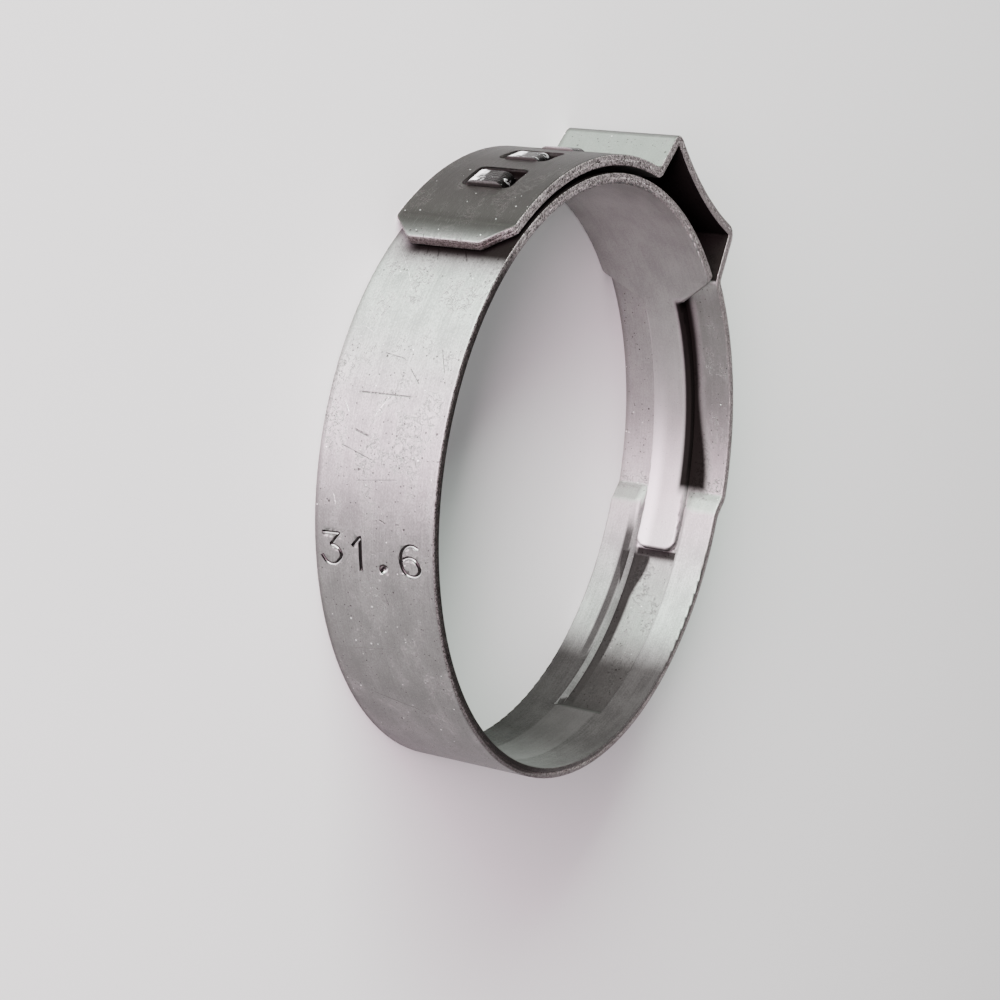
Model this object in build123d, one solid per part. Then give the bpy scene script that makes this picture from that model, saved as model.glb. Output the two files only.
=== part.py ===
"""Stepless single-ear hose clamp, stamped and rolled from one flat steel strip.

Millimetres. The bore axis is Z, the ear stands on +Y, and the strip's two
edges lie in z = -WIDTH/2 and z = +WIDTH/2. Angles are in degrees round the
bore, 0 at the middle of the ear, growing toward the free outer end.
"""
from build123d import *
from math import cos, degrees, radians, sin
import os

# ---- strip -----------------------------------------------------------------
BORE_R = 15.8            # radius the strip closes round
WALL = 0.6               # strip thickness
WIDTH = 7.0              # strip width
EDGE_R = 0.10            # rounding of the rolled strip edges

# ---- outer layer -----------------------------------------------------------
TONGUE_GAP = 0.05        # clearance over the tongue and the ear's second foot
LAP_GAP_EAR = 0.40       # clearance between the layers at the ear
LAP_GAP_END = 0.25       # clearance between the layers at the free end
END_AT = 76.7            # free end of the outer layer
END_CHAMFER = 1.4        # cut corners of the free end
END_CORNER_R = 0.5       # rounding of the cut corners

# ---- ear -------------------------------------------------------------------
EAR_FOOT = 4.95          # half width between the legs at the foot
EAR_PEAK = 4.45          # half width between the legs at the peaks
EAR_RISE = 2.90          # height of the peaks inside, above the bore
EAR_DISH = 0.48          # how far the bridge is dished between the peaks
FOOT_BEND_R = 0.20       # inside bend radius at the feet
PEAK_BEND_R = 0.12       # inside bend radius at the peaks

# ---- tongue ----------------------------------------------------------------
SHOULDER_AT = 15.5       # where the full width starts to taper
SHOULDER_RUN = 1.7       # length of the taper
TONGUE_HALF = 1.25       # half width of the tongue
TONGUE_NOTCH = 0.2       # step from the taper's end in to the tongue
TONGUE_TIP_AT = 78.5     # tip of the tongue
TIP_CORNER_R = 0.6       # rounding of the tip corners
TONGUE_EDGE_R = 0.15     # rounding along the tongue's edges

# ---- step and channel ------------------------------------------------------
STEP_TOP_AT = 65.0       # outer end of the step down to the bore
STEP_FOOT_AT = 69.0      # inner end of the step
STEP_BEND_R = 0.35       # inside bend radius of the step
CHANNEL_END_AT = 123.0   # end of the channel that takes the tongue
CHANNEL_RIM = 1.55       # half width of the channel at the bore
CHANNEL_FLOOR = 1.36     # half width of the channel at its floor
CHANNEL_RAMP = 3.5       # degrees the channel's floor takes to run out at its end
CHANNEL_WALL = 0.45      # thickness of the drawn channel walls
FLOOR_R = 0.15           # rounding inside the channel's floor
END_SPARE = 6.0          # degrees turned beyond the end before it is cut to its slope
STEP_REACH = 1.0         # degrees the channel runs on under the outer layer
RIM_R = 0.22             # rounding of the channel rim

# ---- interlock: windows in the outer layer, hooks lanced from the inner ----
WINDOWS_AT = (57.8, 45.2, 32.6)
HOOK_RISE = (0.30, 0.14, 0.14)   # hook tops above the outer layer
WINDOW_LENGTH = 2.4
WINDOW_WIDTH = 2.95
WINDOW_CORNER_R = 0.45
HOOK_LENGTH = 1.25
HOOK_HALF = 1.3          # half width of a hook at the inner layer
HOOK_CROWN = 1.05        # half width of a hook at its crown
HOOK_BEND_R = 0.55       # rounding of the crown's sides
HOOK_WALL = 0.5          # thickness of a hook, thinned by the draw
HOOK_PLAY = 0.06         # clearance of a hook from its window's front edge
HOOK_SINK = 0.2          # how deep a hook's feet stand in the inner layer

# ---- derived ---------------------------------------------------------------
HALF = WIDTH / 2
INNER_OUT = BORE_R + WALL
TONGUE_LAYER = INNER_OUT + TONGUE_GAP
EAR_TOP = BORE_R + EAR_RISE
LAP_EAR = INNER_OUT + LAP_GAP_EAR
LAP_END = INNER_OUT + LAP_GAP_END
FULL_TURN = 360.0
OVER = 1.0               # how far cutting tools reach past the metal


def at(radius, angle):
    """Point on the circle of that radius, angle measured from the ear."""
    return Vector(-radius * sin(radians(angle)), radius * cos(radians(angle)), 0)


def tangent_plane(radius, angle):
    """Plane touching that circle: x along the strip, y across it, z outward."""
    out = at(1, angle)
    return Plane(origin=at(radius, angle), x_dir=at(1, angle + 90), z_dir=out)


def section_plane(angle):
    """Section through the axis: x across the strip (+Z), y outward."""
    return Plane(origin=(0, 0, 0), x_dir=(0, 0, 1), z_dir=at(1, angle + 90))


def turned(face, start, stop):
    """A section face, drawn across/outward, turned round the bore from start to stop."""
    placed = section_plane(start) * face
    return revolve(placed, axis=Axis.Z, revolution_arc=stop - start)


def arc(radius, start, stop, end_point=None):
    """Arc on that circle, from one angle to the other."""
    last = end_point or at(radius, stop)
    return ThreePointArc(at(radius, start), at(radius, (start + stop) / 2), last)


def section(points):
    return make_face(Polyline(*points, close=True))


def smooth(pieces, bends):
    """A line of arcs and straights with each sharp bend rounded: (point, radius) pairs."""
    wire = Wire(pieces)
    for point, radius in bends:
        corner = wire.vertices().sort_by_distance(point)[0]
        wire = wire.fillet_2d(radius, [corner])
    return wire


def beside(wire, distance):
    """The line that runs beside a smooth line of arcs and straights."""
    pieces = []
    gone = 0.0
    for edge in wire.order_edges():
        spots = []
        for share in (0.0, 0.5, 1.0):
            run = (gone + share * edge.length) / wire.length
            out = wire.tangent_at(run).cross(Vector(0, 0, 1))
            spots.append(wire.position_at(run) + out * distance)
        straight = edge.geom_type == GeomType.LINE
        pieces.append(Line(spots[0], spots[2]) if straight else ThreePointArc(*spots))
        gone += edge.length
    return Wire(pieces)


# ---- the strip's bore-side line, from the tongue's root to the free end ------
STEP_FOOT = at(BORE_R, -STEP_FOOT_AT)
STEP_TOP = at(TONGUE_LAYER, -STEP_TOP_AT)
FOOT_FAR = Vector(EAR_FOOT, (TONGUE_LAYER**2 - EAR_FOOT**2) ** 0.5, 0)
FOOT_NEAR = Vector(-EAR_FOOT, (LAP_EAR**2 - EAR_FOOT**2) ** 0.5, 0)
PEAK_FAR = Vector(EAR_PEAK, EAR_TOP, 0)
PEAK_NEAR = Vector(-EAR_PEAK, EAR_TOP, 0)
DISH = Vector(0, EAR_TOP - EAR_DISH, 0)
SHOULDER_TURN = degrees(SHOULDER_RUN / BORE_R)
START_AT = -(SHOULDER_AT + SHOULDER_TURN)
FOOT_TURN = degrees(EAR_FOOT / LAP_EAR)
LAP_MIDDLE = at((LAP_EAR + LAP_END) / 2, (FOOT_TURN + END_AT) / 2)

step_bends = (
    (STEP_FOOT, STEP_BEND_R + WALL),
    (STEP_TOP, STEP_BEND_R),
)
ear_bends = (
    (FOOT_FAR, FOOT_BEND_R + WALL),
    (PEAK_FAR, PEAK_BEND_R),
    (PEAK_NEAR, PEAK_BEND_R),
    (FOOT_NEAR, FOOT_BEND_R + WALL),
)
step_line = Line(STEP_FOOT, STEP_TOP)
bore_side = smooth(
    [
        arc(BORE_R, START_AT, FULL_TURN - STEP_FOOT_AT),
        step_line,
        arc(TONGUE_LAYER, -STEP_TOP_AT, -FOOT_TURN, FOOT_FAR),
        Line(FOOT_FAR, PEAK_FAR),
        ThreePointArc(PEAK_FAR, DISH, PEAK_NEAR),
        Line(PEAK_NEAR, FOOT_NEAR),
        ThreePointArc(FOOT_NEAR, LAP_MIDDLE, at(LAP_END, END_AT)),
    ],
    step_bends + ear_bends,
)
outer_side = beside(bore_side, WALL)
start_cap = Line(bore_side @ 0, outer_side @ 0)
end_cap = Line(bore_side @ 1, outer_side @ 1)
profile = Face(Wire(bore_side.edges() + outer_side.edges() + [start_cap, end_cap]))
band = extrude(profile, HALF, both=True)


# ---- cut corners of the free end, taper into the tongue ---------------------
def end_corners(solid, cap):
    """The two short edges where an end face of the strip meets the strip's edges."""
    face = solid.faces().sort_by_distance(cap @ 0.5)[0]
    return face.edges().filter_by(lambda e: e.length < WALL + EDGE_R)


band = chamfer(end_corners(band, end_cap), END_CHAMFER)
start_face = band.faces().sort_by_distance(start_cap @ 0.5)[0]
taper_rise = HALF - TONGUE_HALF - TONGUE_NOTCH
band = chamfer(end_corners(band, start_cap), taper_rise, SHOULDER_RUN, reference=start_face)
CUTS_BEYOND = TONGUE_HALF + TONGUE_NOTCH + EDGE_R
cut_corners = band.edges().filter_by(GeomType.LINE).filter_by(
    lambda e: abs(e.length - WALL) < EDGE_R and abs(e.center().Z) > CUTS_BEYOND
)
band = fillet(cut_corners, END_CORNER_R)
side_faces = band.faces().filter_by(Axis.Z).filter_by(
    lambda f: abs(abs(f.center().Z) - HALF) < EDGE_R
)
band = fillet([e for f in side_faces for e in f.edges()], EDGE_R)


# ---- channel pressed outward for the tongue ---------------------------------
def trough(flare, rim, floor, floor_r, bends, end_low, end_high):
    """The channel's solid: a section turned round the bore, its far end cut on a slope."""
    outline = section(
        [
            (-flare, BORE_R - OVER),
            (-flare, BORE_R),
            (-rim, BORE_R),
            (-floor, floor_r),
            (floor, floor_r),
            (rim, BORE_R),
            (flare, BORE_R),
            (flare, BORE_R - OVER),
        ]
    )
    for across, height, radius in bends:
        for side in (-across, across):
            corner = outline.vertices().sort_by_distance((side, height, 0))[0]
            outline = fillet(corner, radius)
    solid = turned(outline, -end_low - END_SPARE, -STEP_TOP_AT + STEP_REACH)
    low = at(BORE_R, -end_low)
    high = at(floor_r, -end_high)
    slope = Plane(origin=low, x_dir=(0, 0, 1), z_dir=(high - low).cross(Vector(0, 0, 1)))
    return split(solid, bisect_by=slope, keep=Keep.BOTTOM)


bore_zone_line = smooth(
    [
        arc(BORE_R, -CHANNEL_END_AT - STEP_TOP_AT, -STEP_FOOT_AT),
        step_line,
        arc(TONGUE_LAYER, -STEP_TOP_AT, -SHOULDER_AT),
    ],
    step_bends,
)
to_axis = [Line((0, 0), bore_zone_line @ 0), Line((0, 0), bore_zone_line @ 1)]
bore_zone = extrude(Face(Wire(bore_zone_line.edges() + to_axis)), HALF, both=True)

RIB_RIM = CHANNEL_RIM + CHANNEL_WALL
RIB_FLOOR = CHANNEL_FLOOR + CHANNEL_WALL
RIB_TOP = TONGUE_LAYER + WALL
RIB_SHIFT = degrees(WALL / BORE_R)
pocket = trough(
    CHANNEL_RIM + 2 * RIM_R,
    CHANNEL_RIM,
    CHANNEL_FLOOR,
    TONGUE_LAYER,
    ((CHANNEL_RIM, BORE_R, RIM_R), (CHANNEL_FLOOR, TONGUE_LAYER, FLOOR_R)),
    CHANNEL_END_AT,
    CHANNEL_END_AT - CHANNEL_RAMP,
)
rib = trough(
    RIB_RIM + EDGE_R,
    RIB_RIM,
    RIB_FLOOR,
    RIB_TOP,
    ((RIB_FLOOR, RIB_TOP, FLOOR_R + CHANNEL_WALL),),
    CHANNEL_END_AT + RIB_SHIFT,
    CHANNEL_END_AT - CHANNEL_RAMP + RIB_SHIFT,
)
band = band + (rib - bore_zone) - pocket

# ---- tongue -----------------------------------------------------------------
tongue = turned(
    section(
        [
            (-TONGUE_HALF, BORE_R),
            (TONGUE_HALF, BORE_R),
            (TONGUE_HALF, INNER_OUT),
            (-TONGUE_HALF, INNER_OUT),
        ]
    ),
    -TONGUE_TIP_AT,
    START_AT,
)
tip_face = tongue.faces().sort_by_distance(at(BORE_R + WALL / 2, -TONGUE_TIP_AT))[0]
tip_corners = tip_face.edges().filter_by(lambda e: abs(e.center().Z) > TONGUE_HALF - EDGE_R)
tongue = fillet(tip_corners, TIP_CORNER_R)
root = at(BORE_R, START_AT)
tongue_middle = (START_AT - TONGUE_TIP_AT) / 2
flats = [tongue.faces().sort_by_distance(at(r, tongue_middle))[0] for r in (BORE_R, INNER_OUT)]
tongue_edges = [e for f in flats for e in f.edges() if (e.center() - root).length > TONGUE_HALF]
tongue = fillet(tongue_edges, TONGUE_EDGE_R)
band = band + tongue

# ---- windows and hooks ------------------------------------------------------
def arch(foot, top, foot_half, crown_half, bend_r):
    """The section of a lanced hook, or of the tunnel under it: a flat crown on two legs."""
    outline = section([(-foot_half, foot), (-crown_half, top), (crown_half, top), (foot_half, foot)])
    for side in (-crown_half, crown_half):
        corner = outline.vertices().sort_by_distance((side, top, 0))[0]
        outline = fillet(corner, bend_r)
    return outline


for angle, rise in zip(WINDOWS_AT, HOOK_RISE):
    share = (angle - FOOT_TURN) / (END_AT - FOOT_TURN)
    lap = LAP_EAR + (LAP_END - LAP_EAR) * share
    opening = tangent_plane((INNER_OUT + lap) / 2, angle) * RectangleRounded(
        WINDOW_LENGTH, WINDOW_WIDTH, WINDOW_CORNER_R
    )
    window = extrude(opening, lap)
    window_front = (WINDOW_LENGTH - HOOK_LENGTH) / 2 - HOOK_PLAY
    hook_at = angle + degrees(window_front / lap)
    top = lap + WALL + rise
    foot = INNER_OUT - HOOK_SINK
    hook_face = arch(foot, top, HOOK_HALF, HOOK_CROWN, HOOK_BEND_R)
    vault_face = arch(
        BORE_R - OVER,
        top - HOOK_WALL,
        HOOK_HALF - HOOK_WALL,
        HOOK_CROWN - HOOK_WALL,
        HOOK_BEND_R - HOOK_WALL / 2,
    )
    hook = extrude(section_plane(hook_at) * hook_face, HOOK_LENGTH / 2, both=True)
    tunnel = extrude(section_plane(hook_at) * vault_face, HOOK_LENGTH / 2, both=True)
    band = band - window + hook - tunnel

os.makedirs("parts", exist_ok=True)
export_step(band.solid(), "parts/clamp_band.step")
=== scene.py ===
# %% [markdown]
# # A stepless ear clamp in rolled stainless steel
# The real clamp is one strip of stainless steel, 7 mm wide and 0.6 mm thick, that a
# press cuts, stamps, bends and rolls into a ring. Nothing on it is painted, so all of
# its looks are in the metal: the rolled faces, the sheared edges and the stamped size.
# This lesson loads the finished ring as a fixed frame, and dresses a copy of it.

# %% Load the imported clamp
from math import atan2, cos, radians, sin
from types import SimpleNamespace

import bmesh
import bpy
from mathutils import Matrix, Vector


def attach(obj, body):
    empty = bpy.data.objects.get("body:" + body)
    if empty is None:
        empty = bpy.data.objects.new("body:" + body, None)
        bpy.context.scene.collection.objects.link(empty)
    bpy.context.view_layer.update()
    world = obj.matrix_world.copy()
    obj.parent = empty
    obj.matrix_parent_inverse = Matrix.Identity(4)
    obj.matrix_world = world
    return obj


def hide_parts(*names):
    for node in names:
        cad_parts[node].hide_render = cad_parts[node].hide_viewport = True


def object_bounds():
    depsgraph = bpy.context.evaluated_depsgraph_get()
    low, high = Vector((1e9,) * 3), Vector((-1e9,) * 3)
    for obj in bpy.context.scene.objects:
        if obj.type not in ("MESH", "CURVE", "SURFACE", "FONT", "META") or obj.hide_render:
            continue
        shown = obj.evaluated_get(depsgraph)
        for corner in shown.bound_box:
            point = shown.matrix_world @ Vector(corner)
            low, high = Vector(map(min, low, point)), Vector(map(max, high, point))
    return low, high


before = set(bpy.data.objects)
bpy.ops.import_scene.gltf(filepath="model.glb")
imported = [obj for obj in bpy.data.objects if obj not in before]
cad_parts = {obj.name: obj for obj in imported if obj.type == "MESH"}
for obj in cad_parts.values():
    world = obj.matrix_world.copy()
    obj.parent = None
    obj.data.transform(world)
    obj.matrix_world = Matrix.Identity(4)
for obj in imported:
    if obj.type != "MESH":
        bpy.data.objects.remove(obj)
cad_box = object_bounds()
MM = 0.001
band_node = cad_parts["clamp_band"]
print("nodes:", sorted(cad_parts))
print("box in mm:", [tuple(round(c / MM, 2) for c in p) for p in cad_box])

# %% [markdown]
# ## Camera
# A ring this small is looked at from close by: the camera is 13 cm away, looks down on
# the ring at about 30 degrees, and is rolled onto its side, so the ring, which lies flat
# on its edge, stands upright in the picture. A point to look at, a place and a roll say
# that in three plain values, where a matrix of nine numbers would hide it.

# %% Camera, with its roll
LOOK_AT = Vector((-2.738, -3.354, 0.0)) * MM
CAMERA_AT = Vector((-104.467, -47.850, 63.249)) * MM
CAMERA_ROLL = radians(99.25)

camera = bpy.data.objects.new("studio_camera", bpy.data.cameras.new("studio_camera"))
camera.data.lens = 86.39
camera.data.sensor_width = 36.0
camera.data.clip_start = 0.005
level_aim = (LOOK_AT - CAMERA_AT).to_track_quat("-Z", "Y").to_matrix()
aim = level_aim @ Matrix.Rotation(CAMERA_ROLL, 3, "Z")
camera.matrix_world = Matrix.Translation(CAMERA_AT) @ aim.to_4x4()
bpy.context.scene.collection.objects.link(camera)
bpy.context.scene.camera = camera
print("camera right:", [round(c, 4) for c in aim.col[0]], "up:", [round(c, 4) for c in aim.col[1]])

# %% [markdown]
# ## Floor
# The ring lies on a plain pale sheet. A large flat square is enough, because no edge of
# it comes into view, and a matt material keeps lamps from glinting in it.

# %% Floor under the ring
def new_material(name):
    """A new material and its one shader."""
    material = bpy.data.materials.new(name)
    material.use_nodes = True
    return material, material.node_tree.nodes["Principled BSDF"]


FLOOR_HALF = 1.5         # in metres
PALE_GREY = (0.86, 0.86, 0.86, 1.0)
floor_material, floor_shader = new_material("pale_floor")
floor_shader.inputs["Base Color"].default_value = PALE_GREY
floor_shader.inputs["Roughness"].default_value = 0.9
floor_height = cad_box[0].z
corner_signs = ((-1, -1), (1, -1), (1, 1), (-1, 1))
corners = [(sx * FLOOR_HALF, sy * FLOOR_HALF, floor_height) for sx, sy in corner_signs]
floor_mesh = bpy.data.meshes.new("floor")
floor_mesh.from_pydata(corners, [], [(0, 1, 2, 3)])
floor_mesh.materials.append(floor_material)
floor = bpy.data.objects.new("floor", floor_mesh)
bpy.context.scene.collection.objects.link(floor)
print("floor at", round(floor_height / MM, 2), "mm")

# %% [markdown]
# ## Light
# Bare metal shows what stands round it. Two wide soft lamps on the side of the camera,
# one a little warm and one a little green, make the long bright sweep down the outside
# of the ring. Where no lamp stands the metal turns dark, which is what tells the eye that
# it is metal. Lamps placed by their bearing round the ring, in degrees from +X, and their
# height above the floor are easy to move one at a time.

# %% Soft lamps round the ring
def soft_lamp(name, bearing, height, distance, size, watts, colour):
    lamp = bpy.data.objects.new(name, bpy.data.lights.new(name, "AREA"))
    lamp.data.shape = "RECTANGLE"
    lamp.data.size, lamp.data.size_y = size
    lamp.data.energy = watts
    lamp.data.color = colour
    turn, rise = radians(bearing), radians(height)
    place = Vector((cos(rise) * cos(turn), cos(rise) * sin(turn), sin(rise))) * distance
    lamp.matrix_world = Matrix.Translation(place) @ place.to_track_quat("Z", "Y").to_matrix().to_4x4()
    bpy.context.scene.collection.objects.link(lamp)
    print(name, "at", [round(c, 3) for c in place])


soft_lamp("warm_side_lamp", bearing=197, height=16, distance=0.50,
          size=(0.38, 0.21), watts=9.6, colour=(1.0, 0.76, 0.88))
soft_lamp("cool_side_lamp", bearing=155, height=16, distance=0.50,
          size=(0.38, 0.21), watts=8.9, colour=(0.83, 1.0, 0.88))
soft_lamp("fill_lamp", bearing=262, height=16, distance=0.60,
          size=(0.50, 0.25), watts=1.0, colour=(1.0, 0.98, 0.97))
soft_lamp("overhead_lamp", bearing=10, height=75, distance=0.80,
          size=(0.70, 0.70), watts=1.0, colour=(1.0, 1.0, 1.0))

# %% A dim room all round
world = bpy.data.worlds.new("studio")
world.use_nodes = True
world.node_tree.nodes["Background"].inputs["Color"].default_value = (0.9, 0.9, 0.92, 1.0)
world.node_tree.nodes["Background"].inputs["Strength"].default_value = 0.15
bpy.context.scene.world = world
print("world:", world.name)

# %% [markdown]
# ## A small kit for drawing materials
# A material is a chain of small steps. Two helpers add a step and wire its inputs, and
# the ones after them do arithmetic, so that a chain reads like a sum on paper.

# %% Helpers for single steps
def set_inputs(tree, node, inputs):
    """Gives a node its inputs: each one is another step's output or a plain value."""
    for key, value in inputs.items():
        if isinstance(value, bpy.types.NodeSocket):
            tree.links.new(value, node.inputs[key])
        else:
            node.inputs[key].default_value = value


def step(tree, kind, inputs=(), **settings):
    node = tree.nodes.new(kind)
    for name, value in settings.items():
        setattr(node, name, value)
    set_inputs(tree, node, dict(inputs))
    return node


print("step helpers ready")

# %% Helpers for arithmetic
def maths(tree, operation, *values):
    return step(tree, "ShaderNodeMath", dict(enumerate(values)), operation=operation).outputs[0]


def vectors(tree, operation, *values, out=0):
    """Maths on vectors. Output 1 is for answers that are a single number, such as a length."""
    return step(tree, "ShaderNodeVectorMath", dict(enumerate(values)), operation=operation).outputs[out]


def scaled(tree, vector, factor):
    return step(tree, "ShaderNodeVectorMath", {0: vector, "Scale": factor}, operation="SCALE").outputs[0]


def linear(tree, value, gain, offset):
    return maths(tree, "ADD", maths(tree, "MULTIPLY", value, gain), offset)


def weighted_sum(tree, *parts):
    """Several values added up, each as (value, weight)."""
    total = 0.0
    for value, weight in parts:
        total = linear(tree, value, weight, total)
    return total


print("arithmetic helpers ready")

# %% [markdown]
# ## Masks and coats
# A mask is a value between 0 and 1 that says where a tone lies. Soft masks can be
# multiplied, which keeps the place they share, or compared, which joins their places. A
# finish is then a base colour with thin coats over it, and a coat is a mask, a strength
# and a colour.

# %% Helpers for masks
def soft_mask(tree, value, start, stop):
    """0 before start, 1 after stop, and smooth between them. Start may be the larger one."""
    inputs = {"Value": value, "From Min": start, "From Max": stop}
    return step(tree, "ShaderNodeMapRange", inputs, interpolation_type="SMOOTHSTEP").outputs["Result"]


def times(tree, *values):
    """The product of several values: for masks, 1 only where all of them are 1."""
    result = values[0]
    for value in values[1:]:
        result = maths(tree, "MULTIPLY", result, value)
    return result


def highest(tree, *masks):
    """1 where any of several masks is 1."""
    result = masks[0]
    for mask in masks[1:]:
        result = maths(tree, "MAXIMUM", result, mask)
    return result


def inverse(tree, mask):
    return maths(tree, "SUBTRACT", 1.0, mask)


def stretch(tree, value, rise, fall):
    """1 on a stretch of values, with a soft rise into it and a soft fall after it."""
    return times(tree, soft_mask(tree, value, *rise), soft_mask(tree, value, *fall))


def near(tree, value, middle, outer, inner):
    """1 within the inner distance of a middle value, and 0 past the outer distance."""
    off = maths(tree, "ABSOLUTE", maths(tree, "SUBTRACT", value, middle))
    return soft_mask(tree, off, outer, inner)


print("mask helpers ready")

# %% Helpers for coats and relief
def blend_colours(tree, share, *colours):
    """The first colour at share 0, the second at share 1. A colour is three values or an output."""
    first, second = [c if isinstance(c, bpy.types.NodeSocket) else (*c, 1.0) for c in colours]
    return step(tree, "ShaderNodeMix", {0: share, 6: first, 7: second}, data_type="RGBA").outputs[2]


def painted(tree, colour, coats):
    """Lays thin coats over a colour, in order, each as (mask, strength, colour)."""
    for mask, strength, coat in coats:
        colour = blend_colours(tree, times(tree, mask, strength), colour, coat)
    return colour


def bumps(tree, relief, strength, depth):
    """Small relief for the shader's Normal, with its depth in millimetres."""
    inputs = {"Strength": strength, "Distance": depth * MM, "Height": relief}
    return step(tree, "ShaderNodeBump", inputs).outputs[0]


print("coat helpers ready")

# %% [markdown]
# ## Where a spot is on the strip
# Marks on rolled steel follow the strip and not the room, so a material first works out
# each spot's place on the strip: how far round the ring it is, in millimetres from the
# middle of the ear, and how far across the width. Both come from Object coordinates,
# which stay with the metal from every side.

# %% Place on the strip, in millimetres
BORE_R = 15.8            # the ring's bore
WALL = 0.6               # thickness of the strip
OUTSIDE_R = BORE_R + WALL
HOOKS_AT = tuple(radians(d) * OUTSIDE_R for d in (57.8, 45.2, 32.6))


def spot_in_mm(tree):
    """A spot in millimetres, as one vector and as its x, y and place across the strip."""
    in_mm = scaled(tree, step(tree, "ShaderNodeTexCoord").outputs["Object"], 1 / MM)
    x, y, across = step(tree, "ShaderNodeSeparateXYZ", {0: in_mm}).outputs
    return SimpleNamespace(in_mm=in_mm, x=x, y=y, across=across)


def place_on_strip(tree):
    """The same spot, with its place along the strip and its distance from the ring's axis."""
    at = spot_in_mm(tree)
    turn = maths(tree, "ARCTAN2", maths(tree, "MULTIPLY", at.x, -1.0), at.y)
    at.along = maths(tree, "MULTIPLY", turn, OUTSIDE_R)
    at.in_plan = step(tree, "ShaderNodeCombineXYZ", {0: at.x, 1: at.y}).outputs[0]
    at.radius = vectors(tree, "LENGTH", at.in_plan, out=1)
    return at


print("outside radius", OUTSIDE_R, "mm, hooks at", [round(hook, 1) for hook in HOOKS_AT])

# %% [markdown]
# ## Scratches
# Handling leaves a few scratches that a noise can't place. Each one is a short line on
# the unrolled strip, from one spot to another. A node group turns the distance from that
# line into a thin mark that fades at its ends, so every scratch is one small box with
# its own two ends and width.

# %% A node group for one scratch
def scratch_group():
    tree = bpy.data.node_groups.new("scratch", "ShaderNodeTree")
    for name, kind in (("Place", "Vector"), ("From", "Vector"), ("To", "Vector"), ("Width", "Float")):
        tree.interface.new_socket(name, in_out="INPUT", socket_type="NodeSocket" + kind)
    tree.interface.new_socket("Mark", in_out="OUTPUT", socket_type="NodeSocketFloat")
    given = tree.nodes.new("NodeGroupInput").outputs
    run = vectors(tree, "SUBTRACT", given["To"], given["From"])
    gone = vectors(tree, "SUBTRACT", given["Place"], given["From"])
    run_squared = vectors(tree, "DOT_PRODUCT", run, run, out=1)
    share = maths(tree, "DIVIDE", vectors(tree, "DOT_PRODUCT", gone, run, out=1), run_squared)
    share = step(tree, "ShaderNodeClamp", {"Value": share}).outputs[0]
    away = vectors(tree, "LENGTH", vectors(tree, "SUBTRACT", gone, scaled(tree, run, share)), out=1)
    thin = soft_mask(tree, maths(tree, "DIVIDE", away, given["Width"]), 1.0, 0.3)
    fade = soft_mask(tree, times(tree, share, inverse(tree, share)), 0.0, 0.09)
    step(tree, "NodeGroupOutput", {"Mark": times(tree, thin, fade)})
    return tree


SCRATCH = scratch_group()
print("scratch steps:", len(SCRATCH.nodes))

# %% Scratches, one by one: from, to and width, in mm along and across the strip
DARK_SCRATCHES = (
    ((30.33, -1.90), (30.24, 1.40), 0.06), ((28.78, 0.73), (29.60, 1.52), 0.04),
    ((32.20, -1.62), (32.45, -0.70), 0.08), ((21.80, -0.55), (22.60, -0.27), 0.05),
    ((21.75, 0.96), (22.55, 1.45), 0.05), ((21.7, -1.2), (22.3, -1.05), 0.04),
    ((28.20, -0.92), (28.38, 0.35), 0.035), ((34.70, -1.20), (34.35, 1.30), 0.022),
    ((43.95, -2.10), (43.50, 0.60), 0.022), ((40.35, 0.55), (40.90, 0.70), 0.04),
    ((47.0, -1.9), (47.9, 0.9), 0.04), ((33.0, -2.3), (33.6, -0.3), 0.035),
    ((27.6, 2.2), (28.9, 2.75), 0.04), ((36.45, 0.35), (36.62, 0.75), 0.06),
)
BRIGHT_SCRATCHES = (
    ((30.30, 0.04), (31.50, -0.62), 0.045), ((22.13, -2.68), (23.50, -1.50), 0.035),
    ((23.45, -1.55), (24.70, -0.75), 0.035), ((30.9, -2.45), (31.4, -2.1), 0.035),
    ((26.9, -2.6), (27.25, -1.9), 0.03), ((35.5, -2.4), (36.1, -2.2), 0.035),
)


def scratches(tree, place, marks):
    """One mask for several scratches."""
    masks = []
    for start, stop, width in marks:
        inputs = {"Place": place, "From": (*start, 0.0), "To": (*stop, 0.0), "Width": width}
        masks.append(step(tree, "ShaderNodeGroup", inputs, node_tree=SCRATCH).outputs[0])
    return highest(tree, *masks)


print("scratches:", len(DARK_SCRATCHES), "dark,", len(BRIGHT_SCRATCHES), "bright")

# %% [markdown]
# ## Rolled steel: the grain
# A rolling mill leaves fine lines along the strip. On top come slow cloudy tones, short
# dashes, hair cracks, small pits and bright specks from handling, all from noise that is
# stretched along the strip or left round. The outside, which the tools have touched, has
# the most marks.

# %% Noise and dots
def noise(tree, place, scale, detail, roughness, distortion=0.0):
    inputs = {"Vector": place, "Scale": scale, "Detail": detail, "Roughness": roughness,
              "Distortion": distortion}
    return step(tree, "ShaderNodeTexNoise", inputs).outputs["Fac"]


def strip_noise(tree, at, along, across, detail, roughness):
    """Noise with its own fineness along the strip and across it, per millimetre."""
    place = vectors(tree, "MULTIPLY", at.in_mm, (along, along, across))
    return noise(tree, place, 1.0, detail, roughness)


DOT_SOFTNESS = 0.06      # share of a cell over which a dot's rim fades


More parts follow.
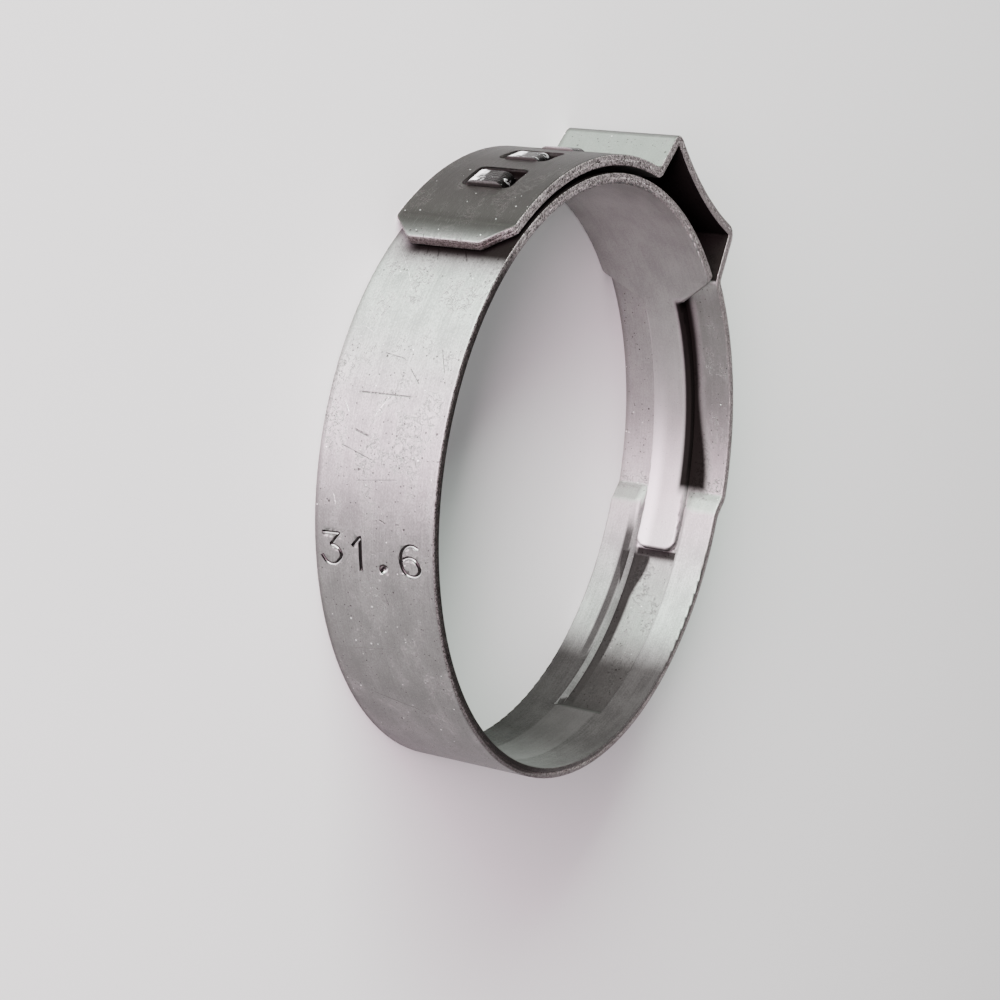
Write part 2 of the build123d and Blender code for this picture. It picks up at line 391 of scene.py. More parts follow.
def dots(tree, in_mm, per_mm, largest, rareness, shift):
    """Scattered round marks of different sizes: 1 inside a dot, and few dots are large."""
    moved = vectors(tree, "ADD", in_mm, (shift, shift, shift))
    inputs = {"Vector": moved, "Scale": per_mm, "Randomness": 1.0}
    cells = step(tree, "ShaderNodeTexVoronoi", inputs).outputs
    chance = step(tree, "ShaderNodeSeparateColor", {0: cells["Color"]}).outputs[0]
    size = times(tree, maths(tree, "POWER", chance, rareness), largest * per_mm)
    return soft_mask(tree, maths(tree, "SUBTRACT", size, cells["Distance"]), 0.0, DOT_SOFTNESS)


print("noise and dots ready")

# %% Grain and small marks
def rolled_grain(tree, at):
    look = SimpleNamespace()
    look.lines = strip_noise(tree, at, along=0.22, across=11.0, detail=5.0, roughness=0.62)
    look.dashes = strip_noise(tree, at, along=1.6, across=16.0, detail=2.0, roughness=0.5)
    look.clouds = strip_noise(tree, at, along=0.5, across=0.8, detail=4.0, roughness=0.55)
    look.grain = strip_noise(tree, at, along=9.0, across=14.0, detail=3.0, roughness=0.6)
    veins = noise(tree, at.in_mm, scale=2.6, detail=6.0, roughness=0.7, distortion=0.6)
    cracked = soft_mask(tree, look.clouds, 0.50, 0.62)
    look.cracks = times(tree, near(tree, veins, 0.5, 0.018, 0.0), cracked, at.outside)
    large_pits = dots(tree, at.in_mm, per_mm=2.1, largest=0.085, rareness=3.4, shift=0.0)
    small_pits = dots(tree, at.in_mm, per_mm=4.6, largest=0.055, rareness=1.3, shift=31.0)
    specks = dots(tree, at.in_mm, per_mm=2.6, largest=0.065, rareness=2.8, shift=57.0)
    look.pits = times(tree, highest(tree, large_pits, small_pits), linear(tree, at.outside, 0.75, 0.25))
    look.specks = times(tree, specks, at.outside)
    flat_place = step(tree, "ShaderNodeCombineXYZ", {0: at.along, 1: at.across}).outputs[0]
    broken = times(tree, at.outside, soft_mask(tree, look.grain, 0.38, 0.52))
    look.dark_marks = times(tree, scratches(tree, flat_place, DARK_SCRATCHES), broken)
    look.bright_marks = times(tree, scratches(tree, flat_place, BRIGHT_SCRATCHES), broken)
    return look


print("grain of rolled steel ready")

# %% [markdown]
# ## Rolled steel: painted darker and brighter places
# The outer layer is painted darker than the rest, a painted dark reflection that is deepest
# just before its cut end. The ear's outside is painted greenish grey, one peak a dark line,
# and the low outside and one rim get painted shade. Inside, painted light brightens the top
# of the bore, the tongue and the strip beside it, and painted shade darkens the bore side of
# the outer layer past the tongue. Each place is a mask in millimetres on the strip, or in x and y.

# %% Coats for the outside and for the bore
def outside_coats(tree, at):
    # Painted dark reflection on the outer layer, a little lighter on its last half millimetre.
    lap = times(tree, stretch(tree, at.radius, (16.6, 16.7), (17.55, 17.40)),
                soft_mask(tree, at.y, 3.0, 5.5), soft_mask(tree, at.x, -3.0, -5.2))
    lap_shade = linear(tree, soft_mask(tree, at.along, 21.3, 21.85), -0.20, 0.98)
    # More painted shade just before the cut end.
    near_end = times(tree, stretch(tree, at.along, (19.6, 21.0), (21.9, 21.5)), lap)
    # The ear's outside is painted a darker greenish grey.
    ear_outside = times(tree, soft_mask(tree, at.radius, 17.4, 17.6),
                        stretch(tree, at.along, (-8.0, -6.0), (8.0, 6.0)))
    # A dark line is painted along the top of one peak of the ear.
    peak_line = times(tree, soft_mask(tree, at.y, 18.9, 19.1), soft_mask(tree, at.x, -4.2, -4.6))
    # Painted dark reflection on the low outside of the ring.
    low_outside = times(tree, soft_mask(tree, at.y, -6.0, -15.0), at.outside)
    # Painted shade along one rounded long edge.
    dark_rim = times(tree, soft_mask(tree, at.across, -3.12, -3.42), at.outside)
    return (
        (lap, lap_shade, (0.058, 0.053, 0.051)),
        (near_end, 0.55, (0.016, 0.0145, 0.014)),
        (ear_outside, 0.7, (0.235, 0.25, 0.232)),
        (peak_line, 0.6, (0.06, 0.058, 0.056)),
        (low_outside, 0.52, (0.12, 0.115, 0.11)),
        (dark_rim, 0.55, (0.08, 0.075, 0.072)),
    )


def bore_coats(tree, at):
    # Painted light on the upper bore.
    upper_bore = times(tree, at.bore_side, soft_mask(tree, at.y, 2.0, 6.0))
    # Painted shade on the bore side of the outer layer, beside and past the tongue.
    past_tongue = highest(tree, soft_mask(tree, at.across, 0.8, 1.2),
                          soft_mask(tree, at.along, -21.0, -22.0))
    under_lap_shade = times(tree, at.bore_side, at.outside, soft_mask(tree, at.along, -5.0, -7.0), past_tongue)
    # Painted light on the tongue.
    on_tongue = times(tree, near(tree, at.across, 0.0, 1.35, 1.2), soft_mask(tree, at.radius, 16.3, 16.2),
                      at.bore_side, soft_mask(tree, at.along, -5.0, -12.0))
    # A painted highlight along one side of the tongue.
    painted_highlight = times(tree, stretch(tree, at.across, (-1.5, -1.3), (-0.1, -0.8)), at.bore_side,
                   stretch(tree, at.along, (-22.6, -22.3), (-10.0, -19.0)))
    return (
        (upper_bore, 0.35, (0.47, 0.455, 0.44)),
        (under_lap_shade, 0.42, (0.12, 0.115, 0.11)),
        (on_tongue, 0.35, (0.62, 0.60, 0.60)),
        (painted_highlight, 0.8, (0.92, 0.88, 0.90)),
    )


print("coats for the outside and the bore ready")

# %% [markdown]
# ## Rolled steel: painted shade
# Shade is painted into the colour where the ring's own folds keep the lamps out: inside the
# ear, under the free end, in the windows, beside the tongue and in the drawn channel. A
# painted dark reflection lies along the low side of the bore. All of those places join into
# one mask, because they share one look: near black, matt, and no longer metallic.

# %% Painted shade on the outer side of the strip
def shade_in_ear(tree, at):
    """Painted shade under the dished bridge, between the two legs that lean together."""
    bridge = linear(tree, maths(tree, "POWER", at.x, 2.0), 0.024, 18.5)
    leg = linear(tree, maths(tree, "SUBTRACT", at.y, 16.0), -0.185, 5.25)
    below_bridge = soft_mask(tree, maths(tree, "SUBTRACT", bridge, at.y), -0.1, 0.1)
    off_leg = maths(tree, "SUBTRACT", leg, maths(tree, "ABSOLUTE", at.x))
    return times(tree, below_bridge, soft_mask(tree, off_leg, -0.1, 0.1),
                 soft_mask(tree, at.y, 15.7, 15.9), soft_mask(tree, at.radius, 16.2, 16.35))


def shadow_under_end(tree, at):
    """A painted shadow on the inner layer, where the free end overhangs it, and thinner towards one side.
    """
    fading = maths(tree, "POWER", soft_mask(tree, at.along, 23.9, 21.9), 1.4)
    thickness = linear(tree, soft_mask(tree, at.across, -3.4, -1.8), 0.6, 0.4)
    return times(tree, fading, thickness, soft_mask(tree, at.radius, 16.5, 16.45), at.outside,
                 soft_mask(tree, at.along, 0.0, 5.0))


# Painted shade in the windows round the hooks.
def shade_in_windows(tree, at):
    along_windows = highest(tree, *(near(tree, at.along, hook, 1.22, 1.16) for hook in HOOKS_AT))
    return times(tree, along_windows, near(tree, at.across, 0.0, 1.5, 1.44), at.outside,
                 soft_mask(tree, at.radius, 17.24, 17.1))


print("oil in the ear, under the free end and in", len(HOOKS_AT), "windows")

# %% Painted shade on the bore side of the strip
def shade_beside_tongue(tree, at):
    """Painted shade in the slit along one side of the tongue, which widens as the tongue tapers."""
    width = linear(tree, soft_mask(tree, at.along, -12.5, -18.5), 0.75, 1.6)
    past_slit = maths(tree, "SUBTRACT", at.across, width)
    return times(tree, soft_mask(tree, at.across, 0.65, 1.0), soft_mask(tree, past_slit, 0.45, -0.25),
                 stretch(tree, at.along, (-19.2, -18.2), (-5.8, -6.4)))


def shade_in_channel(tree, at):
    """Painted shade past the tongue's tip, down the channel's side and its rim, and round its end."""
    past_tip = times(tree, near(tree, at.across, 0.0, 1.5, 1.2),
                     stretch(tree, at.along, (-23.3, -22.8), (-22.35, -22.5)))
    half_width = linear(tree, soft_mask(tree, at.along, -25.8, -23.2), 0.5, 0.30)
    from_middle = maths(tree, "ABSOLUTE", maths(tree, "ADD", at.across, 1.15))
    side = times(tree, soft_mask(tree, maths(tree, "SUBTRACT", from_middle, half_width), 0.18, -0.08),
                 stretch(tree, at.along, (-34.4, -33.8), (-22.3, -23.0)))
    rim = times(tree, near(tree, at.across, -1.80, 0.36, 0.16),
                stretch(tree, at.along, (-35.2, -34.6), (-20.0, -22.0)))
    end = times(tree, near(tree, at.along, -35.0, 0.65, 0.3), near(tree, at.across, -1.7, 0.8, 0.4))
    deep = times(tree, highest(tree, past_tip, side), 0.95)
    return highest(tree, deep, times(tree, highest(tree, rim, end), 0.9))


# A painted dark reflection along the low side of the bore, on one side only, a little weaker at the
# bottom.
def dark_reflection_low_in_bore(tree, at):
    strength = linear(tree, soft_mask(tree, at.y, -11.0, -15.0), -0.18, 0.93)
    return times(tree, soft_mask(tree, at.y, -1.5, -5.0), strength, soft_mask(tree, at.x, -13.0, -2.0))


def painted_shade_everywhere(tree, at):
    """Every place of painted shade in one mask. The slit by the tongue is painted dark on all its faces.
    """
    slit = shade_beside_tongue(tree, at)
    all_of_slit = times(tree, slit, soft_mask(tree, at.radius, 16.9, 16.8))
    in_bore = highest(tree, slit, shade_in_channel(tree, at), dark_reflection_low_in_bore(tree, at))
    return highest(tree, shade_in_ear(tree, at), shade_in_windows(tree, at), shadow_under_end(tree, at),
                   times(tree, at.bore_side, in_bore), all_of_slit)


print("oil beside the tongue, in the channel and low in the bore")

# %% [markdown]
# ## Rolled steel: all together
# The lines of the mill scatter light sideways, so a lamp is smeared into a soft band
# across the metal. That is what the anisotropy of the shader does, with its direction
# laid across the strip. The painted shade comes last, over every other coat.

# %% Rolled steel for the faces of the strip
DARK_GRAIN = (0.245, 0.24, 0.24)
LIGHT_GRAIN = (0.42, 0.415, 0.41)
# The colour of the painted shade.
PAINTED_SHADE_COLOUR = (0.0036, 0.0027, 0.0025)


def rolled_steel():
    material, shader = new_material("rolled_steel")
    tree = material.node_tree
    at = place_on_strip(tree)
    facing = step(tree, "ShaderNodeNewGeometry").outputs["Normal"]
    outwards = maths(tree, "DIVIDE", vectors(tree, "DOT_PRODUCT", facing, at.in_plan, out=1), at.radius)
    at.bore_side = soft_mask(tree, outwards, -0.25, -0.5)
    at.outside = soft_mask(tree, at.radius, 16.1, 16.3)
    look = rolled_grain(tree, at)
    # Painted shade in the ear, under the free end, in the windows, by the tongue, in the channel and low
    # in the bore.
    painted_shade = painted_shade_everywhere(tree, at)
    unshaded = inverse(tree, painted_shade)

    tone = weighted_sum(tree, (look.lines, 0.25), (look.clouds, 0.35), (look.grain, 0.40))
    colour = blend_colours(tree, soft_mask(tree, tone, 0.38, 0.62), DARK_GRAIN, LIGHT_GRAIN)
    bare_marks = highest(tree, look.specks, times(tree, look.bright_marks, 0.7))
    shiny = times(tree, bare_marks, unshaded)
    colour = painted(tree, colour, (
        *outside_coats(tree, at),
        (soft_mask(tree, look.dashes, 0.60, 0.74), 0.22, (0.17, 0.165, 0.16)),
        *bore_coats(tree, at),
        (look.cracks, 0.45, (0.10, 0.09, 0.09)),
        (highest(tree, look.pits, look.dark_marks), 0.85, (0.05, 0.045, 0.045)),
        (shiny, 0.8, (0.85, 0.85, 0.84)),
        (painted_shade, 0.993, PAINTED_SHADE_COLOUR),
    ))
    metal_rough = linear(tree, shiny, -0.15, linear(tree, look.lines, 0.16, 0.44))
    dents = highest(tree, look.pits, look.dark_marks, look.cracks)
    relief = weighted_sum(tree, (look.lines, 0.5), (look.grain, 0.6), (dents, -1.0), (shiny, 0.8))
    set_inputs(tree, shader, {
        "Base Color": colour,
        "Roughness": highest(tree, metal_rough, times(tree, painted_shade, 0.85)),
        "Metallic": unshaded,
        "Normal": bumps(tree, relief, 0.8, 0.019),
        "Tangent": step(tree, "ShaderNodeCombineXYZ", {2: 1.0}).outputs[0],
        "Anisotropic": 0.75,
        "Specular IOR Level": 0.0,
    })
    return material


steel = rolled_steel()
print("steel steps:", len(steel.node_tree.nodes))

# %% [markdown]
# ## Sheared edges
# A press shears the strip off its coil. The edge has a smooth cut part and a torn part,
# with an uneven dark line between them and a grain that sparkles, so it gets its own
# material, rougher and without the rolled lines. Shade is painted onto the low edges, most
# on the bore side, and onto the side of the tongue, and the cut end is painted darker.

# %% Sheared steel for the edges
def sheared_steel():
    material, shader = new_material("sheared_steel")
    tree = material.node_tree
    at = place_on_strip(tree)
    grain = noise(tree, at.in_mm, scale=11.0, detail=4.0, roughness=0.75)
    coarse = noise(tree, at.in_mm, scale=2.6, detail=4.0, roughness=0.65)
    wander = times(tree, maths(tree, "SUBTRACT", coarse, 0.5), 0.7)
    wall_share = step(tree, "ShaderNodeAttribute", attribute_name="wall_share").outputs["Fac"]
    torn = times(tree, near(tree, maths(tree, "ADD", wall_share, wander), 0.55, 0.16, 0.02),
                 soft_mask(tree, grain, 0.62, 0.42))

    # Painted shade: the low edges are darker, most on the bore side, and the tongue's side is near black.
    right_side = soft_mask(tree, at.x, 3.0, 8.0)
    near_bore = soft_mask(tree, linear(tree, right_side, 0.45, wall_share), 0.95, 0.7)
    thinnest = linear(tree, right_side, -0.25, 0.45)
    low_edge_shade = times(tree, soft_mask(tree, at.y, 6.5, 2.0), linear(tree, near_bore, 0.47, thinnest))
    # The cut free end is painted darker.
    free_end = times(tree, stretch(tree, at.along, (21.0, 21.5), (23.0, 22.5)),
                     soft_mask(tree, at.radius, 16.55, 16.62))
    tongue_side_shade = times(tree, stretch(tree, at.across, (0.8, 1.0), (2.0, 1.8)),
                        soft_mask(tree, at.along, -5.0, -6.0))
    sparkle = soft_mask(tree, grain, 0.40, 0.62)
    colour = blend_colours(tree, sparkle, (0.12, 0.10, 0.10), (0.95, 0.85, 0.86))
    colour = painted(tree, colour, (
        (soft_mask(tree, at.x, -8.0, 1.0), 0.6, (0.42, 0.37, 0.37)),
        (low_edge_shade, 1.0, (0.022, 0.017, 0.016)),
        (torn, 0.8, (0.03, 0.022, 0.022)),
        (free_end, 0.65, (0.06, 0.045, 0.045)),
        (tongue_side_shade, 1.0, (0.008, 0.006, 0.006)),
    ))
    set_inputs(tree, shader, {
        "Base Color": colour,
        "Roughness": linear(tree, grain, 0.3, 0.35),
        "Metallic": inverse(tree, tongue_side_shade),
        "Normal": bumps(tree, maths(tree, "SUBTRACT", grain, torn), 0.9, 0.03),
        "Specular IOR Level": 0.0,
    })
    return material


sheared = sheared_steel()
print("edge steps:", len(sheared.node_tree.nodes))

# %% [markdown]
# ## Hooks with painted light
# A hard tool pushed the hooks up through the windows. One side of each crown is a painted
# highlight, bright and smooth, and the rest is painted shade, dark and torn, with painted glints.

# %% Hook steel with painted highlight and shade
def hook_steel_painted_light():
    material, shader = new_material("hook_steel_painted_light")
    tree = material.node_tree
    at = spot_in_mm(tree)
    uneven = noise(tree, at.in_mm, scale=2.2, detail=4.0, roughness=0.6, distortion=0.8)
    wander = times(tree, maths(tree, "SUBTRACT", uneven, 0.5), 1.6)
    painted_highlight = soft_mask(tree, maths(tree, "ADD", at.across, wander), -0.25, -0.6)
    painted_glints = soft_mask(tree, uneven, 0.61, 0.66)
    # A painted highlight on one side of the crown, with painted glints; the rest is painted shade.
    bright = highest(tree, painted_highlight, times(tree, painted_glints, 0.8))
    set_inputs(tree, shader, {
        "Base Color": blend_colours(tree, bright, (0.012, 0.010, 0.010), (0.97, 0.95, 0.97)),
        "Roughness": linear(tree, uneven, 0.3, 0.22),
        "Metallic": linear(tree, painted_highlight, -0.5, 1.0),
        "Normal": bumps(tree, uneven, 1.0, 0.10),
    })
    return material


hook_finish = hook_steel_painted_light()
print("burnished steps:", len(hook_finish.node_tree.nodes))

# %% [markdown]
# ## Stamped strokes
# The punch leaves smooth strokes. The flank that faces away from the ear is painted dark
# as painted shade, and the other flank is painted bright as a painted highlight, so the
# number reads clearly. Which flank a spot is on comes from its own facing, so the painted
# shade stays where it is from any side.

# %% Stamped steel for the strokes
SHADED_FLANK = (0.485, -0.501, 0.717)      # the direction that the flank with painted shade faces


def stamped_steel():
    material, shader = new_material("stamped_steel")
    tree = material.node_tree
    facing = step(tree, "ShaderNodeNewGeometry").outputs["Normal"]
    toward = vectors(tree, "DOT_PRODUCT", facing, SHADED_FLANK, out=1)
    # Painted shade on the flank that faces away from the ear, a painted highlight on the other.
    shaded_flank = soft_mask(tree, toward, -0.30, -0.05)
    set_inputs(tree, shader, {
        "Base Color": blend_colours(tree, shaded_flank, (0.95, 0.94, 0.94), (0.02, 0.018, 0.018)),
        "Roughness": 0.3,
        "Metallic": 1.0,
    })
    return material


stamped = stamped_steel()
print("stamped steps:", len(stamped.node_tree.nodes))

# %% [markdown]
# ## The stamped size
# The maker's press drives a steel number into the strip, so each stroke is a round
# groove. The number is plain: it gives the bore in millimetres. Each stroke is drawn as
# a line on the unrolled strip, Geometry Nodes wrap the lines onto the ring and sweep a
# round wire along them, and a boolean then cuts the wire out of the steel.

# %% Strokes on the unrolled strip: distance from the ear, place across, in mm
DIGIT_STROKES = {
    "three": ((37.54, -3.02), (37.48, -1.98), (38.10, -2.50), (38.18, -2.20), (38.38, -1.96),
              (38.62, -1.90), (38.90, -2.06), (39.14, -2.42), (39.06, -2.76), (38.70, -3.08)),
    "one": ((38.01, -1.23), (37.49, -0.76), (39.25, -0.75)),
    "six": ((37.60, 2.64), (37.50, 2.16), (37.72, 1.79), (38.11, 1.62), (38.50, 1.64),
            (38.87, 1.82), (39.07, 2.20), (38.98, 2.54), (38.70, 2.70), (38.40, 2.62),
            (38.17, 2.38), (38.13, 2.04), (38.29, 1.68)),
}
SHARP_POINTS = {"three": 3, "one": 3, "six": 0}      # how many of the first points are corners

number_curve = bpy.data.curves.new("number_strokes", "CURVE")
number_curve.dimensions = "3D"
for digit, points in DIGIT_STROKES.items():
    spline = number_curve.splines.new("BEZIER")
    spline.bezier_points.add(len(points) - 1)
    for index, (along, across) in enumerate(points):
        point = spline.bezier_points[index]
        point.co = (along * MM, across * MM, 0.0)
        handle = "VECTOR" if index < SHARP_POINTS[digit] else "AUTO"
        point.handle_left_type = point.handle_right_type = handle
number_strokes = bpy.data.objects.new("number_strokes", number_curve)
bpy.context.scene.collection.objects.link(number_strokes)
print("strokes:", {name: len(points) for name, points in DIGIT_STROKES.items()})

# %% [markdown]
# The tree takes the ring's radius, the groove's radius and its depth as named inputs, so
# the same tree could stamp any other size. It turns the strokes into short steps, moves
# each step from the flat strip to the ring, and sweeps a circle along.

# %% Geometry Nodes: wrap the strokes onto the ring
CIRCLE_SIDES = 16


def wrapping_tree():
    tree = bpy.data.node_groups.new("wrap_strokes", "GeometryNodeTree")
    face = tree.interface
    face.new_socket("Strokes", in_out="INPUT", socket_type="NodeSocketGeometry")
    for name in ("Ring radius", "Groove radius", "Groove depth", "Step"):
        face.new_socket(name, in_out="INPUT", socket_type="NodeSocketFloat")
    face.new_socket("Steel", in_out="INPUT", socket_type="NodeSocketMaterial")
    face.new_socket("Wires", in_out="OUTPUT", socket_type="NodeSocketGeometry")
    given = tree.nodes.new("NodeGroupInput").outputs
    short = step(tree, "GeometryNodeResampleCurve", {"Curve": given["Strokes"], "Length": given["Step"]},
                 mode="LENGTH").outputs[0]
    spot = step(tree, "GeometryNodeInputPosition").outputs[0]
    along, across, _ = step(tree, "ShaderNodeSeparateXYZ", {0: spot}).outputs
    turn = maths(tree, "DIVIDE", along, given["Ring radius"])
    lift = maths(tree, "SUBTRACT", given["Groove radius"], given["Groove depth"])
    reach = maths(tree, "ADD", given["Ring radius"], lift)
    left = times(tree, reach, maths(tree, "SINE", turn), -1.0)
    ahead = times(tree, reach, maths(tree, "COSINE", turn))
    on_ring = step(tree, "ShaderNodeCombineXYZ", {0: left, 1: ahead, 2: across}).outputs[0]
    moved = step(tree, "GeometryNodeSetPosition", {"Geometry": short, "Position": on_ring}).outputs[0]
    circle = step(tree, "GeometryNodeCurvePrimitiveCircle",
                  {"Resolution": CIRCLE_SIDES, "Radius": given["Groove radius"]}).outputs[0]
    wires = step(tree, "GeometryNodeCurveToMesh",
                 {"Curve": moved, "Profile Curve": circle, "Fill Caps": True}).outputs[0]
    painted_wires = step(tree, "GeometryNodeSetMaterial", {"Geometry": wires, "Material": given["Steel"]})
    step(tree, "NodeGroupOutput", {"Wires": painted_wires.outputs[0]})
    return tree


wrap_strokes = wrapping_tree()
print("wrapping steps:", len(wrap_strokes.nodes))

# %% Sweep the strokes
STROKE_R = 0.11          # radius of the groove
STROKE_DEPTH = 0.13      # depth of the groove below the outside
STROKE_STEP = 0.05       # length of the short steps along a stroke


def finished_mesh(obj):
    """The plain mesh that an object's modifiers make."""
    bpy.context.view_layer.update()
    return bpy.data.meshes.new_from_object(obj.evaluated_get(bpy.context.evaluated_depsgraph_get()))


wrapping = number_strokes.modifiers.new("wrap_strokes", "NODES")
wrapping.node_group = wrap_strokes
wrapping_inputs = {
    "Ring radius": OUTSIDE_R * MM, "Groove radius": STROKE_R * MM, "Groove depth": STROKE_DEPTH * MM,
    "Step": STROKE_STEP * MM, "Steel": steel}
for item in wrap_strokes.interface.items_tree:
    if item.name in wrapping_inputs:
        wrapping[item.identifier] = wrapping_inputs[item.name]
stroke_mesh = finished_mesh(number_strokes)
bpy.data.objects.remove(number_strokes)
print("stroke wires:", len(stroke_mesh.polygons), "faces")

# %% [markdown]
# The point is a deeper round dimple, so it is a small ball. Strokes and ball become one
# cutter.

# %% One cutter for the number
DOT_AT = (38.95, 0.61)
DOT_R = 0.28
DOT_DEPTH = 0.26
WIRE_MERGE = 1e-7        # points of the wires closer than this, in metres, are one


def point_on_ring(radius, along, across):
    turn = along / OUTSIDE_R
    return Vector((-radius * sin(turn), radius * cos(turn), across)) * MM


cutter_bm = bmesh.new()
cutter_bm.from_mesh(stroke_mesh)
dot_place = Matrix.Translation(point_on_ring(OUTSIDE_R + DOT_R - DOT_DEPTH, *DOT_AT))
bmesh.ops.create_icosphere(cutter_bm, subdivisions=3, radius=DOT_R * MM, matrix=dot_place)
bmesh.ops.remove_doubles(cutter_bm, verts=cutter_bm.verts, dist=WIRE_MERGE)
bmesh.ops.recalc_face_normals(cutter_bm, faces=cutter_bm.faces)
cutter_mesh = bpy.data.meshes.new("number_cutter")
cutter_bm.to_mesh(cutter_mesh)
cutter_bm.free()
cutter = bpy.data.objects.new("number_cutter", cutter_mesh)
bpy.context.scene.collection.objects.link(cutter)
print("cutter:", len(cutter_mesh.polygons), "faces")

# %% [markdown]
# ## The band
# The ring's own solid already has every fold, window and hook, so the piece starts as a
# copy of it. The copy's loose triangles are merged into one closed skin first, because a
# boolean needs a closed shape.

# %% Copy the ring and merge it
SKIN_MERGE = 2e-7        # points of the skin closer than this, in metres, are one


def merge_skin(bm):
    """Merges doubled points, and counts the edges that are still open."""
    bmesh.ops.remove_doubles(bm, verts=bm.verts, dist=SKIN_MERGE)
    return sum(1 for edge in bm.edges if not edge.is_manifold)


band_bm = bmesh.new()
band_bm.from_mesh(band_node.data)
print("skin:", merge_skin(band_bm), "open edges,", len(band_bm.faces), "faces")

# %% [markdown]
# The outside of the ring is made of long flat facets, which lie a little below the true
# round. Under the number that would make some strokes shallow, so the facets there are
# sliced into a fine net, and the points of the net are moved out to the round.

# %% A fine net of faces under the number
NUMBER_FROM, NUMBER_TO = 36.9, 39.9      # the stretch of the strip that takes the number
MARGIN = 1.0             # faces this far past the number are sliced too
GRID = 0.3               # spacing of the net
ROWS = 11                # rows of the net to each side of the middle
SKIN_DEPTH = 0.02        # faces within this of the outside radius are outside
SAG = 0.012              # how far a facet may lie below the round
FLAT_HALF = 3.39         # half the width between the rounded long edges
SLACK = 0.01             # lets in the points on the first line of the net
ON_PLANE = 1e-8          # points this close to a plane, in metres, lie on it


def along_of(point):
    """Distance round the ring from the middle of the ear, in mm of strip."""
    return atan2(-point.x, point.y) * OUTSIDE_R


def slice_under_number(bm, point, direction):
    """Cuts the outside faces round the number along one plane."""
    faces = []
    for face in bm.faces:
        middle = face.calc_center_median() / MM
        outside = middle.xy.length > OUTSIDE_R - SKIN_DEPTH
        if outside and NUMBER_FROM - MARGIN < along_of(middle) < NUMBER_TO + MARGIN:
            faces.append(face)
    edges = {edge for face in faces for edge in face.edges}
    points = {vert for face in faces for vert in face.verts}
    geom = [*faces, *edges, *points]
    bmesh.ops.bisect_plane(bm, geom=geom, dist=ON_PLANE, plane_co=point, plane_no=direction)


for row in range(-ROWS, ROWS + 1):
    slice_under_number(band_bm, Vector((0, 0, row * GRID)) * MM, Vector((0, 0, 1)))
for column in range(int((NUMBER_TO - NUMBER_FROM) / GRID) + 1):
    turn = (NUMBER_FROM + column * GRID) / OUTSIDE_R
    slice_under_number(band_bm, Vector(), Vector((cos(turn), sin(turn), 0)))
net_open_edges = merge_skin(band_bm)
for vert in band_bm.verts:
    reach = vert.co.xy.length / MM
    below_round = OUTSIDE_R - SAG < reach < OUTSIDE_R and abs(vert.co.z) < FLAT_HALF * MM
    if below_round and NUMBER_FROM - SLACK < along_of(vert.co) < NUMBER_TO:
        vert.co.x *= OUTSIDE_R / reach
        vert.co.y *= OUTSIDE_R / reach
print("sliced for the number:", len(band_bm.faces), "faces,", net_open_edges, "open edges")

# %% Cut the number
band_mesh = bpy.data.meshes.new("steel_band")
band_bm.to_mesh(band_mesh)
band_bm.free()
band = bpy.data.objects.new("steel_band", band_mesh)
bpy.context.scene.collection.objects.link(band)
cut = band.modifiers.new("stamp", "BOOLEAN")
cut.operation = "DIFFERENCE"
cut.solver = "EXACT"
cut.use_self = True
cut.object = cutter
stamped_mesh = finished_mesh(band)
band.modifiers.clear()
band.data = stamped_mesh
bpy.data.objects.remove(cutter)
print("stamped band:", len(stamped_mesh.polygons), "faces")

# %% [markdown]
# ## Four finishes on one skin
# A face that looks straight up or down at the strip's edges is sheared, and so is the cut
# end of the outer layer. Faces in the windows that stand high are hooks, and faces that
# dip under the outside round at the number are strokes. All the rest is rolled.

# %% Which finish a face has
ROLLED, SHEARED, HOOK_FACE, STAMPED = range(4)
EDGE_HEIGHT = 3.5        # half the strip's width
EDGE_BAND = 0.06         # a face this close to that height lies on the edge
EDGE_LOOK = 0.7          # and looks up or down at least this straight
FREE_END = (19.5, 23.5)  # the stretch that holds the cut free end
OUTER_LAYER_R = 16.6     # the outer layer is past this radius
END_LEAN = 0.5           # a face of the cut end looks out from the axis less than this
HOOK_R = 16.45           # and a hook's crown past this one
HOOK_HALF_LENGTH = 0.95
HOOK_HALF_WIDTH = 1.36
STROKES_R = (16.0, OUTSIDE_R - 0.004)    # a groove's faces lie between these radii
STROKES_HALF = 3.3       # and within this of the strip's middle
FLAT_LEAN = 0.995        # a face that looks out straighter than this is no stroke


def is_edge(face):
    off_edge = abs(abs(face.calc_center_median().z) - EDGE_HEIGHT * MM)
    return abs(face.normal.z) > EDGE_LOOK and off_edge < EDGE_BAND * MM


def kind_of(face):
    middle = face.calc_center_median() / MM
    along, across, reach = along_of(middle), abs(middle.z), middle.xy.length
    lean = face.normal.xy.dot(middle.xy) / reach         # 1 where a face looks straight out
    if is_edge(face):
        return SHEARED
    if FREE_END[0] < along < FREE_END[1] and reach > OUTER_LAYER_R and abs(lean) < END_LEAN:
        return SHEARED
    by_hook = any(abs(along - hook) < HOOK_HALF_LENGTH for hook in HOOKS_AT)
    if by_hook and across < HOOK_HALF_WIDTH and reach > HOOK_R:
        return HOOK_FACE
    at_number = NUMBER_FROM < along < NUMBER_TO and across < STROKES_HALF
    if at_number and STROKES_R[0] < reach < STROKES_R[1] and lean < FLAT_LEAN:
        return STAMPED
    return ROLLED


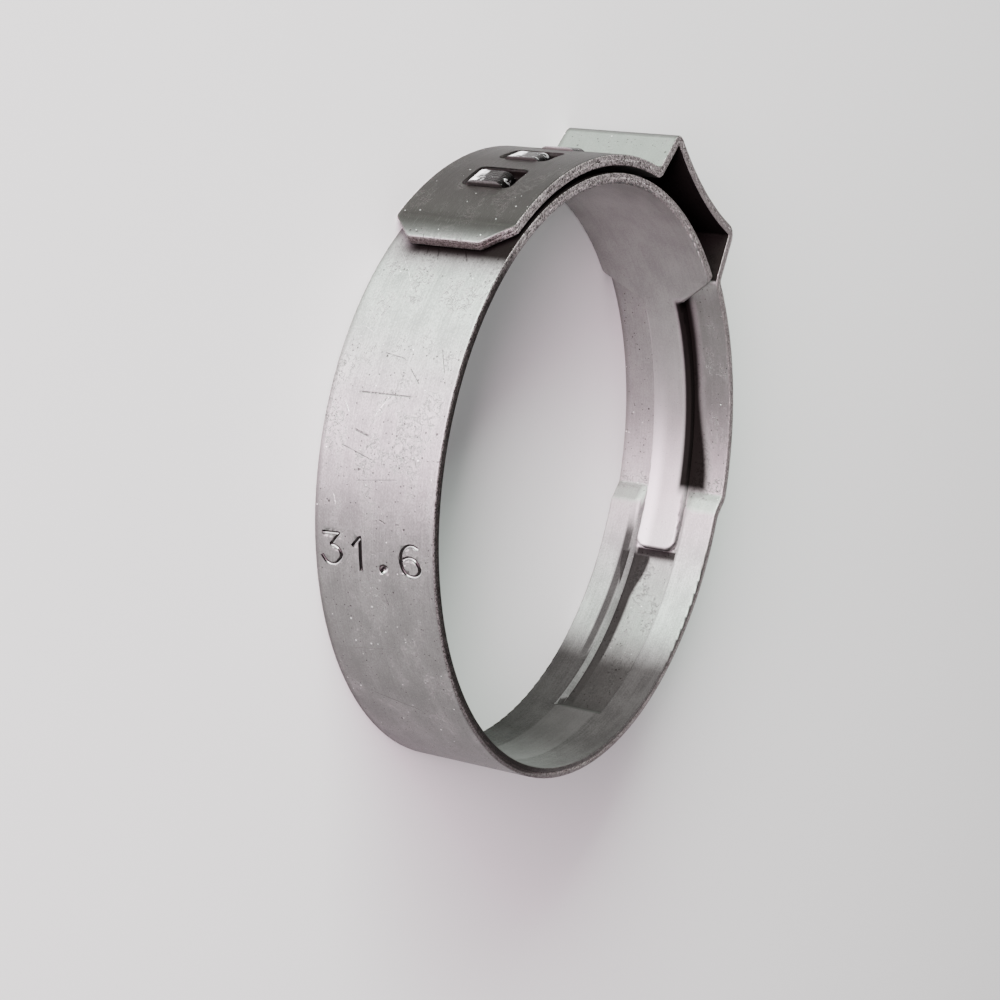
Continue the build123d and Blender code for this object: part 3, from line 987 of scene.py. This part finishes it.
stamped_mesh.materials.clear()
for finish in (steel, sheared, hook_finish, stamped):
    stamped_mesh.materials.append(finish)
band_bm = bmesh.new()
band_bm.from_mesh(stamped_mesh)
counts = [0, 0, 0, 0]
for face in band_bm.faces:
    face.smooth = True
    face.material_index = kind_of(face)
    counts[face.material_index] += 1
print("rolled, sheared, burnished and stamped faces:", counts)

# %% [markdown]
# For the torn line the sheared material needs to know how far through the wall a spot
# is, so each point stores that as an attribute: 0 on the bore side and 1 outside. Round
# the ear, which stands off the ring, inside and outside are told from the middle of the
# ear instead of the middle of the bore.

# %% The share of the wall, on every point
EAR_MIDDLE = Vector((0.0, 17.2)) * MM
EAR_HALF = 5.6           # half the ear's length, with its peaks
EAR_FROM = 16.8          # height above the axis where the ear leaves the ring
SHARP_ANGLE = radians(28)


def leads_outside(point, direction):
    """True where a direction at a point leads away from the bore, or from inside the ear."""
    on_ear = abs(point.x) < EAR_HALF * MM and point.y > EAR_FROM * MM
    centre = EAR_MIDDLE if on_ear else Vector((0.0, 0.0))
    return direction.xy.dot(point.xy - centre) > 0


wall_share = band_bm.verts.layers.float.new("wall_share")
for vert in band_bm.verts:
    leaning = sum((face.normal for face in vert.link_faces), Vector())
    vert[wall_share] = 1.0 if leads_outside(vert.co, leaning) else 0.0
outside_points = sum(1 for vert in band_bm.verts if vert[wall_share] > 0.5)
print("points outside:", outside_points, "of", len(band_bm.verts))
band_bm.to_mesh(stamped_mesh)
band_bm.free()
stamped_mesh.set_sharp_from_angle(angle=SHARP_ANGLE)

# %% [markdown]
# Long thin triangles beside tiny ones shade unevenly. Normals that follow the larger
# faces keep the broad faces of the strip flat and clean.

# %% Even shading
even = band.modifiers.new("even_shading", "WEIGHTED_NORMAL")
even.keep_sharp = True
even.weight = 100
final_mesh = finished_mesh(band)
band.modifiers.clear()
band.data = final_mesh
print("final band:", len(final_mesh.vertices), "points")

# %% Tie the band to the frame
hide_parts("clamp_band")
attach(band, "root")
print("band rides on root")

# %% Finish
print("finished")
